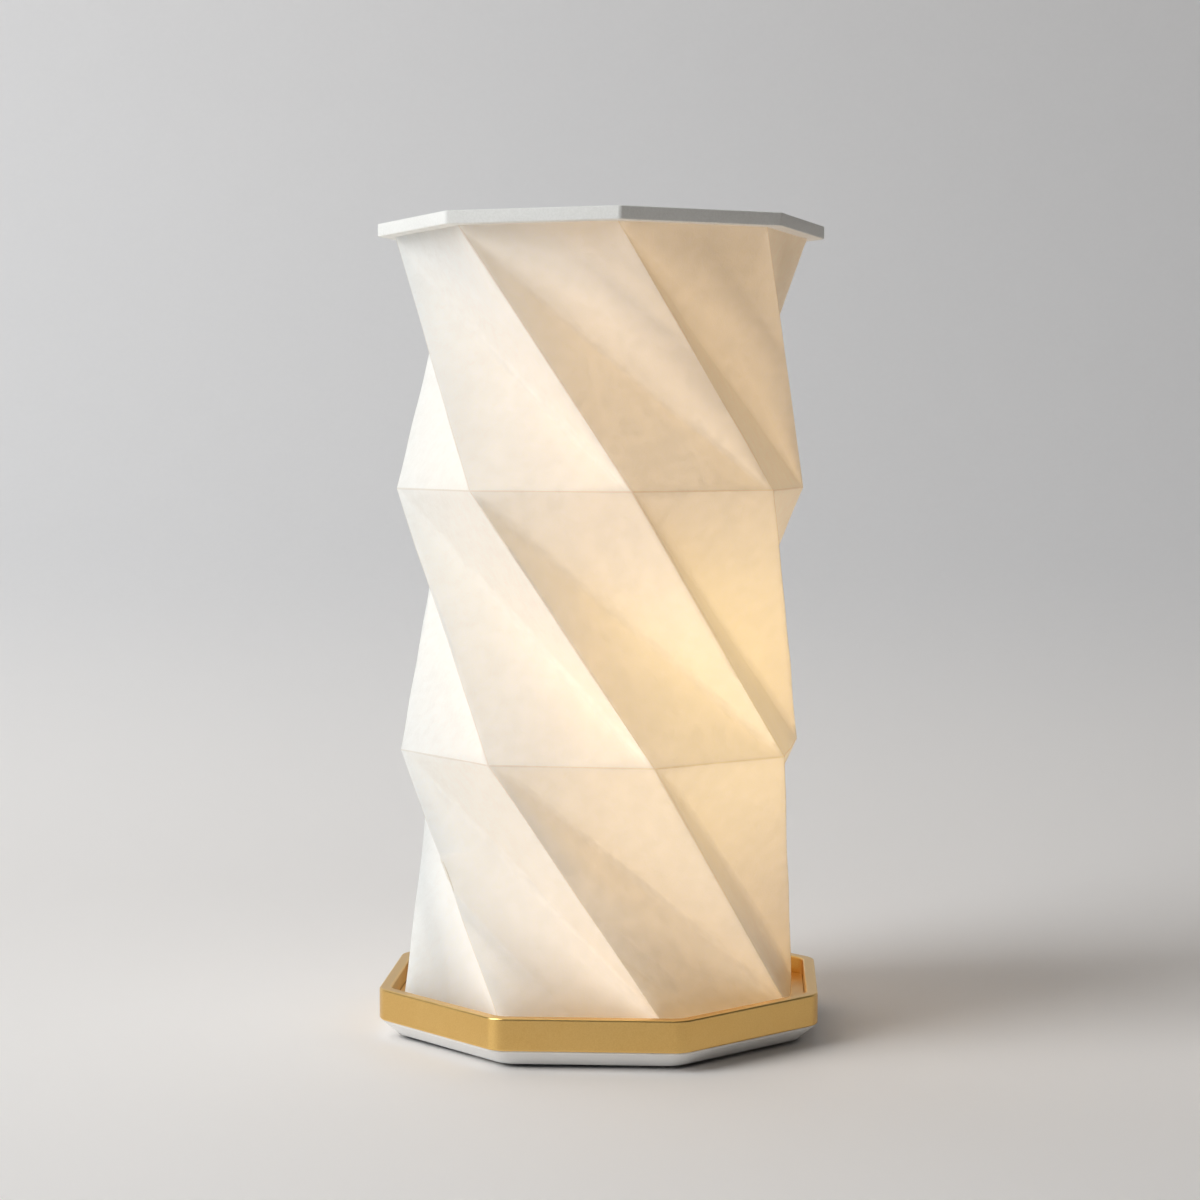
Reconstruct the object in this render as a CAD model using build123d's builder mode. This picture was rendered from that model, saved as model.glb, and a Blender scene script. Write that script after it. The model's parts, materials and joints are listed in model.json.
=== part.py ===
"""Folded paper table lamp: an eight-sided twisted paper column on a gold-rimmed base.

Millimetres. +Z is up, the origin is on the table under the centre of the base, the front
is -Y, and the cable outlet is at the back, +Y.
"""
from build123d import *
from math import atan2, cos, degrees, hypot, pi, radians, sin
import os

os.makedirs("parts", exist_ok=True)

# ---------------------------------------------------------------- driving dimensions
side_count = 8                    # the column, the plate and the base are all octagons
side_angle = 360 / side_count
base_phase = side_angle / 2       # turns an octagon so that its flats face +-X and +-Y

# paper shade
shade_radius = 77.0                   # circumradius of every fold corner
tier_heights = (92.9, 96.4, 93.4)     # hand-folded tiers differ a little
tier_twists = (48.5, 51.0, 49.0)      # degrees that each tier turns, going down
shade_turn = -1.5                     # the shade stands a little askew in its play
paper_wall = 0.7                      # measured along the radius
frame_width = 16.0                    # from the fold corners in to the frames' holes
frame_height = 2.0
frame_play = 1.0                      # between a hole and the raised octagon in it
plate_overhang = 6.5                  # from the fold corners out to the plate's corners
plate_thickness = 4.8
plate_corner = 1.2
plate_edge = 0.4

# levels from the table up
foot_height = 1.2                 # the rubber feet lift the base off the table
cover_thickness = 1.5
ring_bottom = 7.2                 # underside of the gold ring
ring_height = 11.6
roof_bottom = 9.5                 # underside of the base's top wall
roof_thickness = 1.5
deck_thickness = 1.5              # the floor of the tray, on which the shade stands

# base, measured at the octagons' corners unless a flat is named
tray_gap = 5.54                   # from the fold corners out to the inside of the ring
ring_wall = 4.4                   # across a flat
ring_corner = 4.0
ring_edge = 0.7
lip_inset = 1.0                   # from the outside of the ring in to the white base's lip
base_taper = 6.5                  # from that lip in to the foot of the base
base_lip_height = 0.7             # the short upright lip under the ring
base_wall = 3.8                   # at the foot
fit_gap = 0.2                     # clearance between pieces that drop into each other
boss_radius = 3.6
cover_screw_radius = 1.45
screw_head_radius = 2.7
foot_radius = 7.0
foot_recess = 0.6
foot_edge = 1.0                   # cover left between a foot and the cover's flat

# ballast and wiring
ballast_gap = 8.0                 # from the hollow's corners in to the ballast
ballast_rim = 1.2                 # steel left outside the holes for the bosses
ballast_thickness = 5.2
ballast_centre_hole = 13.0
boss_play = 0.4                   # between a boss and the ballast round it
block_size = (18.0, 12.0, 5.6)    # terminal block: across, along and high
block_setback = 8.0               # from the hollow's back flat to the block
block_play = 4.0                  # between the sides of the block and the ballast
lead_room = 8.0                   # in front of the block, where the leads draw together
terminal_pitch = 8.0
terminal_drop = 3.2               # from the roof down to the middle of the tubes
terminal_bore = 1.7
terminal_screw_radius = 1.5
wire_slot = 8.0
lead_radius = 1.0
lead_spacing = 3.2
grommet_width = 8.0
grommet_margin = 0.15             # above and below the grommet
grommet_flange = 1.5
cable_slot = (5.4, 2.6)
grommet_reach = 0.9               # how far the grommet stands out past the white base

# stem and lampholder
stem_radius = 5.0
stem_wall = 1.0
stem_rise = 18.5                  # from the tray's raised octagon up to the lampholder
stem_lap = 10.0                   # how far the stem goes into the lampholder
nut_across_flats = 15.0
nut_height = 3.0
collar_radius = 17.0
collar_height = 5.0
holder_cap_height = 18.0
holder_cone = 11.0
holder_neck_wall = 4.0
holder_neck_height = 8.0
holder_radius = 19.5
holder_wall = 1.6
holder_lap = 3.0                  # how far the cap reaches up inside the shell
holder_rim_drop = 0.6             # from the top of the bulb's cap down to the rim
core_height = 7.4
post_reach = 10.0                 # from the axis to the two terminals
post_radius = 2.0
post_screw_length = 1.6
contact_rise = 1.6                # from the core up to the bulb's contact
contact_thickness = 0.45
contact_width = 5.0
sleeve_wall = 0.5
sleeve_flange = 2.2
thread_play = 0.35

# bulb, a screw cap of 27 mm with a thread of seven turns to the inch
bulb_length = 108.0
cap_length = 26.0
cap_root = 12.4
cap_wall = 0.4
thread_height = 0.75
thread_pitch = 25.4 / 7
thread_margin = 2.9               # plain cap left above the thread
unscrew_turns = 6.5
tip_radius = 4.4
tip_height = 1.8
insulator_radius = 9.8
insulator_height = 5.6
housing_height = 36.0             # from the cap up to the globe's seat
housing_plug = 12.0               # how far the housing reaches down inside the cap
housing_wall = 2.4
neck_radius = 15.2                # of the housing just above the cap
globe_radius = 30.0
globe_wall = 1.4
globe_waist = 2.6                 # how much narrower the globe is at its seat
globe_widest = 14.0               # from the seat up to the widest ring
seat_lip = 0.8
seat_width = 4.0
seat_depth = 3.0
board_thickness = 1.6
driver_length = 38.0
driver_thickness = 1.6
capacitor_radius = 2.6
capacitor_length = 12.0
chip_size = (4.0, 4.4, 6.0)
led_size = (3.5, 2.8, 0.8)
led_ring_radius = 16.5            # on which the LEDs stand
led_count = 10

# ---------------------------------------------------------------- worked-out values
flat_ratio = cos(radians(side_angle / 2))
frame_hole_radius = shade_radius - frame_width
plate_radius = shade_radius + plate_overhang
ring_inner = shade_radius + tray_gap
ring_inner_corner = ring_corner - 1.0
ring_radius = ring_inner + ring_wall / flat_ratio
base_lip_radius = ring_radius - lip_inset
base_foot_radius = base_lip_radius - base_taper
cavity_radius = base_foot_radius - base_wall
cavity_flat = cavity_radius * flat_ratio
lip_flat = base_lip_radius * flat_ratio
foot_circle = cavity_flat - fit_gap - foot_radius - foot_edge
ballast_radius = cavity_radius - ballast_gap
boss_circle = ballast_radius * flat_ratio - ballast_rim - boss_play - boss_radius

cover_top = foot_height + cover_thickness
ring_top = ring_bottom + ring_height
roof_top = roof_bottom + roof_thickness
deck_top = roof_top + deck_thickness
raised_top = deck_top + frame_height
shade_levels = [deck_top]
for height in reversed(tier_heights):
    shade_levels.insert(0, shade_levels[0] + height)
shade_phases = [base_phase + shade_turn - sum(tier_twists)]
for twist in tier_twists:
    shade_phases.append(shade_phases[-1] + twist)
shade_top = shade_levels[0]
plate_phase = shade_phases[0]

block_back = cavity_flat - block_setback
block_front = block_back - block_size[1]
block_y = (block_back + block_front) / 2
notch_front = block_front - lead_room
tube_z = roof_bottom - terminal_drop
grommet_height = ring_bottom - cover_top - 2 * grommet_margin
grommet_z = (ring_bottom + cover_top) / 2

holder_bottom = raised_top + stem_rise
stem_top = holder_bottom + stem_lap
holder_shell_bottom = holder_bottom + holder_cap_height
holder_cap_top = holder_shell_bottom + holder_lap
core_top = holder_cap_top + core_height
holder_inner = holder_radius - holder_wall
sleeve_inner = cap_root + thread_height + thread_play
sleeve_outer = sleeve_inner + sleeve_wall
bulb_bottom = core_top + contact_rise
bulb_top = bulb_bottom + bulb_length
cap_top = bulb_bottom + cap_length
holder_rim = cap_top - holder_rim_drop
globe_seat = cap_top + housing_height
globe_seat_radius = globe_radius - globe_waist
board_bottom = globe_seat - seat_depth
board_top = board_bottom + board_thickness
diagonal = [(1, 1), (-1, 1), (-1, -1), (1, -1)]


# ---------------------------------------------------------------- helpers
def save(piece, label):
    """Name the finished piece and write its STEP file."""
    shape = piece.part if isinstance(piece, BuildPart) else piece
    shape.label = label
    export_step(shape, f"parts/{label}.step")
    box = shape.bounding_box()
    print(f"{label:18s} {shape.volume / 1000:9.3f} cm3  z {box.min.Z:7.2f} to {box.max.Z:7.2f}")


def octagon(radius, corner=0.0, phase=base_phase, mode=Mode.ADD):
    """Draw an octagon by its circumradius, in the sketch that is open."""
    with BuildSketch(mode=Mode.PRIVATE) as outline:
        RegularPolygon(radius, side_count, rotation=phase)
        if corner:
            fillet(outline.vertices(), corner)
    add(outline.sketch, mode=mode)


def level_corners(radius, z, phase):
    """Return the eight fold corners on one level of the paper column."""
    angles = [radians(phase + side_angle * i) for i in range(side_count)]
    return [Vector(radius * cos(a), radius * sin(a), z) for a in angles]


def folded_column(radius, heights, phases):
    """Return the closed solid between twisted octagons, top level first."""
    rows = [level_corners(radius, z, phase) for z, phase in zip(heights, phases)]
    faces = [flat_face(rows[0]), flat_face(rows[-1])]
    faces += [flat_face(corners) for corners in panel_corners(rows)]
    return Solid(Shell(faces))


def flat_face(points):
    """Return the flat face with these corners."""
    return Face(Wire.make_polygon(points))


def panel_corners(rows):
    """List the flat triangles between the rows of corners.

    Each side of a tier is two triangles. Its mountain crease joins corner i to corner i
    below, and its valley crease joins corner i to corner i + 1 below.
    """
    triangles = []
    for upper, lower in zip(rows, rows[1:]):
        for i in range(side_count):
            j = (i + 1) % side_count
            triangles.append([upper[i], lower[j], upper[j]])
            triangles.append([upper[i], lower[i], lower[j]])
    return triangles


def paper_panel(outer, inner):
    """Return one flat panel of the paper, between its outer and its inner triangle.

    Its three narrow sides are the ones its neighbours have too: each is parted from the
    lower outer corner to the higher inner one, whichever panel it is seen from.
    """
    faces = [flat_face(outer), flat_face(inner)]
    for k in range(3):
        low, high = sorted((k, (k + 1) % 3), key=lambda n: outer[n].Z)
        faces.append(flat_face([outer[low], outer[high], inner[high]]))
        faces.append(flat_face([outer[low], inner[high], inner[low]]))
    return Solid(Shell(faces))


def on_circle(radius, z):
    """Return the four diagonal points at a distance from the axis."""
    reach = radius / 2 ** 0.5
    return [(reach * x, reach * y, z) for x, y in diagonal]


# ---------------------------------------------------------------- base
def make_base():
    """Make the white base, its gold ring and tray floor, the cover, feet and screws."""
    lip_bottom = ring_bottom - base_lip_height
    spigot = ring_inner - fit_gap
    with BuildPart() as base_body:
        with BuildSketch(Plane.XY.offset(foot_height)):
            octagon(base_foot_radius, ring_corner)
        with BuildSketch(Plane.XY.offset(lip_bottom)):
            octagon(base_lip_radius, ring_corner)
        loft(ruled=True)
        with BuildSketch(Plane.XY.offset(lip_bottom)):
            octagon(base_lip_radius, ring_corner)
        extrude(amount=base_lip_height)
        with BuildSketch(Plane.XY.offset(ring_bottom)):
            octagon(spigot, ring_corner)
        extrude(amount=roof_top - ring_bottom)
        # the hollow under the roof, open below, with a ledge that takes the cover
        with BuildSketch(Plane.XY.offset(foot_height)):
            octagon(cavity_radius, ring_corner)
        extrude(amount=roof_bottom - foot_height, mode=Mode.SUBTRACT)
        with BuildSketch(Plane.XY.offset(cover_top)):
            with Locations(*[(x, y) for x, y, z in on_circle(boss_circle, 0)]):
                Circle(boss_radius)
        extrude(amount=roof_bottom - cover_top)
        with BuildSketch(Plane.XY.offset(cover_top)):
            with Locations(*[(x, y) for x, y, z in on_circle(boss_circle, 0)]):
                Circle(cover_screw_radius + 0.05)
        extrude(amount=roof_bottom - cover_top - 1.0, mode=Mode.SUBTRACT)
        with BuildSketch(Plane.XY.offset(roof_bottom)):
            Circle(stem_radius + fit_gap)
        extrude(amount=roof_top - roof_bottom, mode=Mode.SUBTRACT)
        with BuildSketch(Plane.XZ.offset(-cavity_flat + 1)):
            with Locations((0, grommet_z)):
                SlotOverall(grommet_width, grommet_height)
        extrude(amount=-(lip_flat - cavity_flat + 3), mode=Mode.SUBTRACT)
    save(base_body, "base_body")

    with BuildPart() as trim_ring:
        with BuildSketch(Plane.XY.offset(ring_bottom)):
            octagon(ring_radius, ring_corner)
            octagon(ring_inner, ring_inner_corner, mode=Mode.SUBTRACT)
        extrude(amount=ring_height)
        rims = trim_ring.edges().group_by(Axis.Z)
        fillet(rims[-1] + rims[0], ring_edge)
    save(trim_ring, "trim_ring")

    # the tray floor carries a raised octagon that keeps the shade's bottom frame in place
    with BuildPart() as deck_plate:
        with BuildSketch(Plane.XY.offset(roof_top)):
            octagon(spigot, ring_corner)
        extrude(amount=deck_thickness)
        with BuildSketch(Plane.XY.offset(deck_top)):
            octagon(frame_hole_radius - frame_play)
        extrude(amount=frame_height)
        with BuildSketch(Plane.XY.offset(roof_top)):
            Circle(stem_radius + fit_gap)
        extrude(amount=raised_top - roof_top, mode=Mode.SUBTRACT)
    save(deck_plate, "deck_plate")

    with BuildPart() as bottom_cover:
        with BuildSketch(Plane.XY.offset(foot_height)):
            octagon(cavity_radius - fit_gap, ring_corner)
        extrude(amount=cover_thickness)
        with Locations(*on_circle(boss_circle, foot_height)):
            with Locations(Rotation(180, 0, 0)):
                CounterSinkHole(cover_screw_radius + 0.25, screw_head_radius + 0.3,
                                cover_thickness * 2)
        with BuildSketch(Plane.XY.offset(foot_height)):
            for x, y, z in foot_points():
                with Locations((x, y)):
                    Circle(foot_radius + 0.1)
        extrude(amount=foot_recess, mode=Mode.SUBTRACT)
    save(bottom_cover, "bottom_cover")

    with BuildPart() as rubber_feet:
        with BuildSketch():
            for x, y, z in foot_points():
                with Locations((x, y)):
                    Circle(foot_radius)
        extrude(amount=foot_height + foot_recess)
        fillet(rubber_feet.edges().group_by(Axis.Z)[0], 0.4)
    save(rubber_feet, "rubber_feet")

    with BuildPart() as cover_screws:
        for x, y, z in on_circle(boss_circle, foot_height):
            with BuildSketch(Plane.XZ.offset(-y)):
                with BuildLine():
                    Polyline(
                        (x, foot_height + 0.1), (x + screw_head_radius, foot_height + 0.1),
                        (x + cover_screw_radius, foot_height + 1.4),
                        (x + cover_screw_radius, roof_bottom - 2.3), (x, roof_bottom - 1.5),
                        (x, foot_height + 0.1),
                    )
                make_face()
            revolve(axis=Axis((x, y, 0), (0, 0, 1)))
            with BuildSketch(Plane.XY.offset(foot_height + 0.1)):
                with Locations((x, y)):
                    Rectangle(screw_head_radius, 0.5)
                    Rectangle(0.5, screw_head_radius)
            extrude(amount=0.8, mode=Mode.SUBTRACT)
    save(cover_screws, "cover_screws")


def foot_points():
    """Return the centres of the four feet, which stand between the screws."""
    return [(foot_circle, 0, 0), (0, foot_circle, 0), (-foot_circle, 0, 0), (0, -foot_circle, 0)]


# ---------------------------------------------------------------- inside the base
def make_inside():
    """Make the ballast, terminal block, grommet and the two leads up to the lampholder."""
    with BuildPart() as ballast_plate:
        with BuildSketch(Plane.XY.offset(roof_bottom - ballast_thickness)):
            octagon(ballast_radius, 2.0)
            Circle(ballast_centre_hole, mode=Mode.SUBTRACT)
            with Locations((0, notch_front)):
                Rectangle(block_size[0] + 2 * block_play, ballast_radius,
                          align=(Align.CENTER, Align.MIN), mode=Mode.SUBTRACT)
            Rectangle(wire_slot, notch_front + 1, align=(Align.CENTER, Align.MIN),
                      mode=Mode.SUBTRACT)
            with Locations(*[(x, y) for x, y, z in on_circle(boss_circle, 0)]):
                Circle(boss_radius + boss_play, mode=Mode.SUBTRACT)
        extrude(amount=ballast_thickness)
    save(ballast_plate, "ballast_plate")

    with BuildPart() as terminal_block:
        with Locations((0, block_y, roof_bottom - block_size[2] / 2)):
            Box(*block_size)
        with BuildSketch(Plane.XZ.offset(-block_back)):
            for side in (-1, 1):
                with Locations((side * terminal_pitch / 2, tube_z)):
                    Circle(terminal_bore)
        extrude(amount=block_size[1], mode=Mode.SUBTRACT)
        with BuildSketch(Plane.XY.offset(roof_bottom - block_size[2])):
            for side in (-1, 1):
                with Locations((side * terminal_pitch / 2, block_y)):
                    Circle(terminal_screw_radius + 0.1)
        extrude(amount=block_size[2] - terminal_drop - terminal_bore + 0.9, mode=Mode.SUBTRACT)
    save(terminal_block, "terminal_block")

    # each brass tube holds a lead at the front and leaves room for the cable at the back
    with BuildPart() as terminal_tubes:
        with BuildSketch(Plane.XZ.offset(-block_back + 0.5)):
            for side in (-1, 1):
                with Locations((side * terminal_pitch / 2, tube_z)):
                    Circle(terminal_bore - 0.05)
                    Circle(lead_radius + 0.1, mode=Mode.SUBTRACT)
        extrude(amount=block_size[1] - 1.0)
    save(terminal_tubes, "terminal_tubes")

    with BuildPart() as terminal_screws:
        for side in (-1, 1):
            with BuildSketch(Plane.XY.offset(roof_bottom - block_size[2] + 0.2)):
                with Locations((side * terminal_pitch / 2, block_y)):
                    Circle(terminal_screw_radius)
            extrude(amount=0.55)
            with BuildSketch(Plane.XY.offset(roof_bottom - block_size[2] + 0.2)):
                with Locations((side * terminal_pitch / 2, block_y)):
                    Rectangle(2 * terminal_screw_radius + 0.2, 0.5)
            extrude(amount=0.3, mode=Mode.SUBTRACT)
    save(terminal_screws, "terminal_screws")

    with BuildPart() as cable_grommet:
        with BuildSketch(Plane.XZ.offset(-cavity_flat + 2.0)):
            with Locations((0, grommet_z)):
                SlotOverall(grommet_width + 2 * grommet_flange, grommet_height + 0.1)
        extrude(amount=-1.9)
        with BuildSketch(Plane.XZ.offset(-cavity_flat + 0.2)):
            with Locations((0, grommet_z)):
                SlotOverall(grommet_width - 0.1, grommet_height - 0.1)
        extrude(amount=-(lip_flat - cavity_flat + grommet_reach))
        with BuildSketch(Plane.XZ.offset(-cavity_flat + 3.0)):
            with Locations((0, grommet_z)):
                SlotOverall(*cable_slot)
        extrude(amount=-(lip_flat - cavity_flat + grommet_reach + 5), mode=Mode.SUBTRACT)
    save(cable_grommet, "cable_grommet")

    # the two leads lie side by side in the ballast's slot and climb inside the stem
    low_z = cover_top + lead_radius + 0.6
    for side, label in ((-1, "lead_live"), (1, "lead_neutral")):
        near = side * lead_spacing / 2
        end = side * post_reach
        with BuildPart() as lead:
            with BuildLine() as route:
                FilletPolyline(
                    (side * terminal_pitch / 2, block_y - 1, tube_z),
                    (side * terminal_pitch / 2, block_front - 2, tube_z),
                    (near, notch_front, low_z), (near, 0, low_z), (near, 0, stem_top + 0.5),
                    (end, 0, holder_shell_bottom - 3), (end, 0, holder_cap_top - post_screw_length),
                    radius=2.4,
                )
            with BuildSketch(Plane(origin=route.line @ 0, z_dir=route.line % 0)):
                Circle(lead_radius)
            sweep(path=route.line)
        save(lead, label)


# ---------------------------------------------------------------- stem and lampholder
def turned(profile):
    """Revolve a closed profile of (radius, height) points in the part that is open."""
    with BuildSketch(Plane.XZ, mode=Mode.PRIVATE) as half:
        with BuildLine():
            Polyline(*profile, close=True)
        make_face()
    revolve(half.sketch, axis=Axis.Z)


def make_holder():
    """Make the stem with its nut and collar, and the pieces of the lampholder."""
    with BuildPart() as stem_tube:
        stem_bottom = roof_bottom - nut_height - 0.2
        stem_bore = stem_radius - stem_wall
        turned([(stem_bore, stem_bottom), (stem_radius, stem_bottom),
                (stem_radius, stem_top), (stem_bore, stem_top)])
    save(stem_tube, "stem_tube")

    with BuildPart() as stem_nut:
        with BuildSketch(Plane.XY.offset(roof_bottom - nut_height)):
            RegularPolygon(nut_across_flats / 2, 6, major_radius=False)
            Circle(stem_radius + 0.02, mode=Mode.SUBTRACT)
        extrude(amount=nut_height)
    save(stem_nut, "stem_nut")

    with BuildPart() as stem_collar:
        turned([(stem_radius + 0.05, raised_top), (collar_radius, raised_top),
                (collar_radius, raised_top + 1.2), (stem_radius + 3, raised_top + collar_height),
                (stem_radius + 0.05, raised_top + collar_height)])
    save(stem_collar, "stem_collar")

    neck = stem_radius + holder_neck_wall
    lap = holder_inner - 0.1
    with BuildPart() as holder_cap:
        turned([(stem_radius + 0.05, holder_bottom), (neck, holder_bottom),
                (neck + 1, holder_bottom + 0.45 * holder_cone),
                (holder_radius, holder_bottom + holder_cone),
                (holder_radius, holder_shell_bottom), (lap, holder_shell_bottom),
                (lap, holder_cap_top), (lap - holder_wall, holder_cap_top),
                (lap - holder_wall, holder_bottom + holder_cone + 1.5),
                (neck, holder_bottom + holder_neck_height),
                (stem_radius + 0.05, holder_bottom + holder_neck_height)])
    save(holder_cap, "holder_cap")

    mouth = sleeve_outer + 0.4
    with BuildPart() as holder_shell:
        turned([(holder_inner, holder_shell_bottom), (holder_radius, holder_shell_bottom),
                (holder_radius, holder_rim - 1), (holder_radius - 1, holder_rim),
                (mouth, holder_rim), (mouth, holder_rim - holder_wall),
                (holder_inner, holder_rim - holder_wall)])
    save(holder_shell, "holder_shell")

    with BuildPart() as holder_core:
        turned([(0, holder_cap_top), (holder_inner - 0.05, holder_cap_top),
                (holder_inner - 0.05, core_top), (0, core_top)])
        with BuildSketch(Plane.XY.offset(holder_cap_top)):
            for side in (-1, 1):
                with Locations((side * post_reach, 0)):
                    Circle(post_radius + 0.05)
        extrude(amount=core_height, mode=Mode.SUBTRACT)
    save(holder_core, "holder_core")

    # a screw clamps each lead under the core and carries its current to a contact
    with BuildPart() as holder_terminals:
        for side in (-1, 1):
            with Locations((side * post_reach, 0, holder_cap_top)):
                Cylinder(post_radius, core_height, align=(Align.CENTER, Align.CENTER, Align.MIN))
                Cylinder(post_radius - 0.4, post_screw_length,
                         align=(Align.CENTER, Align.CENTER, Align.MAX))
    save(holder_terminals, "holder_terminals")

    sleeve_top = holder_rim - holder_wall - 0.1
    with BuildPart() as screw_sleeve:
        turned([(sleeve_inner, core_top + sleeve_wall),
                (sleeve_inner - sleeve_flange, core_top + sleeve_wall),
                (sleeve_inner - sleeve_flange, core_top), (sleeve_outer, core_top),
                (sleeve_outer, sleeve_top), (sleeve_inner, sleeve_top)])
    save(screw_sleeve, "screw_sleeve")

    with BuildPart() as centre_contact:
        with BuildSketch(Plane.XZ.offset(-contact_width / 2)):
            with BuildLine():
                Polyline((0.5 - post_reach, core_top), (0, core_top),
                         (tip_radius - 0.8, bulb_bottom - contact_thickness),
                         (tip_radius - 0.8, bulb_bottom), (-1.5, bulb_bottom),
                         (-tip_radius - 1.1, core_top + contact_thickness),
                         (0.5 - post_reach, core_top + contact_thickness), close=True)
            make_face()
        extrude(amount=contact_width)
    save(centre_contact, "centre_contact")


# ---------------------------------------------------------------- bulb
def make_bulb():
    """Make the bulb: contact, insulator, threaded cap, housing, boards, LEDs and globe."""
    tip_edge = bulb_bottom + tip_height / 3
    tip_top = bulb_bottom + tip_height
    insulator_top = bulb_bottom + insulator_height
    with BuildPart() as bulb_contact:
        turned([(0, bulb_bottom), (tip_radius - 1, bulb_bottom), (tip_radius, tip_edge),
                (tip_radius, tip_top), (0, tip_top)])
    save(bulb_contact, "bulb_contact")

    with BuildPart() as bulb_insulator:
        turned([(tip_radius + 0.1, tip_edge + 0.1), (tip_radius + 1.2, tip_edge + 0.1),
                (insulator_radius, insulator_top - 1.2), (insulator_radius, insulator_top),
                (0, insulator_top), (0, tip_top + 0.1), (tip_radius + 0.1, tip_top + 0.1)])
    save(bulb_insulator, "bulb_insulator")

    cap_bore = cap_root - cap_wall
    thread_bottom = insulator_top + 0.8
    with BuildPart() as bulb_cap:
        turned([(insulator_radius + 0.1, insulator_top - 1.2), (cap_root, insulator_top + 0.6),
                (cap_root, cap_top - 1), (cap_root + 0.5, cap_top), (cap_bore, cap_top),
                (cap_bore, thread_bottom), (insulator_radius + 0.1, insulator_top - 0.4)])
        with BuildLine() as coil:
            Helix(thread_pitch, cap_top - thread_margin - thread_bottom, cap_root - 0.05,
                  center=(0, 0, thread_bottom))
        with BuildSketch(Plane(origin=coil.line @ 0, x_dir=(1, 0, 0), z_dir=coil.line % 0)):
            Ellipse(thread_height, thread_pitch * 0.36)
        sweep(path=coil.line, is_frenet=True)
    save(bulb_cap, "bulb_cap")

    # the housing flares from its neck, just over the cap, to the rim that holds the globe
    foot = cap_top + 0.1
    rim = globe_seat_radius + seat_lip
    plug = cap_bore - 0.6
    plug_bore = plug - 0.8
    flare = rim - neck_radius
    belly = neck_radius + 0.29 * flare
    with BuildPart() as bulb_housing:
        turned([(plug, cap_top - housing_plug), (plug, foot), (neck_radius, foot),
                (neck_radius + 0.06 * flare, cap_top + 0.19 * housing_height),
                (belly, cap_top + 0.5 * housing_height), (rim - 0.6, board_bottom),
                (rim, globe_seat), (rim - seat_width, globe_seat),
                (rim - seat_width, board_bottom),
                (belly - housing_wall, cap_top + 0.53 * housing_height),
                (plug_bore, cap_top + 0.11 * housing_height),
                (plug_bore, cap_top - housing_plug)])
    save(bulb_housing, "bulb_housing")

    driver_z = cap_top - housing_plug + 1 + driver_length / 2
    with BuildPart() as bulb_driver:
        with Locations((0, 0, driver_z)):
            Box(2 * (plug_bore - 0.1), driver_thickness, driver_length)
        face = driver_thickness / 2 - 0.1
        with Locations((0, face + capacitor_radius, driver_z)):
            Cylinder(capacitor_radius, capacitor_length)
        with Locations((-chip_size[0] - 1, face, driver_z + capacitor_length / 2 + 2)):
            Box(*chip_size, align=(Align.CENTER, Align.MIN, Align.CENTER))
    save(bulb_driver, "bulb_driver")

    with BuildPart() as bulb_board:
        with Locations((0, 0, board_bottom)):
            Cylinder(rim - seat_width - 0.1, board_thickness,
                     align=(Align.CENTER, Align.CENTER, Align.MIN))
    save(bulb_board, "bulb_board")

    with BuildPart() as bulb_leds:
        with BuildSketch(Plane.XY.offset(board_top)):
            with PolarLocations(led_ring_radius, led_count):
                Rectangle(led_size[0], led_size[1])
        extrude(amount=led_size[2])
    save(bulb_leds, "bulb_leds")

    widest = globe_seat + globe_widest
    inside = globe_seat_radius - globe_wall
    with BuildPart() as bulb_globe:
        with BuildSketch(Plane.XZ):
            with BuildLine():
                Spline((globe_seat_radius, globe_seat), (globe_radius, widest), (0, bulb_top),
                       tangents=((0.25, 1), (-1, 0)))
                Line((0, bulb_top), (0, bulb_top - globe_wall))
                Spline((0, bulb_top - globe_wall), (globe_radius - globe_wall, widest),
                       (inside, globe_seat), tangents=((1, 0), (-0.25, -1)))
                Line((inside, globe_seat), (globe_seat_radius, globe_seat))
            make_face()
        revolve(axis=Axis.Z)
    save(bulb_globe, "bulb_globe")
    print(f"bulb: the globe rises {bulb_top - widest:.1f} mm above its widest ring")


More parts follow.
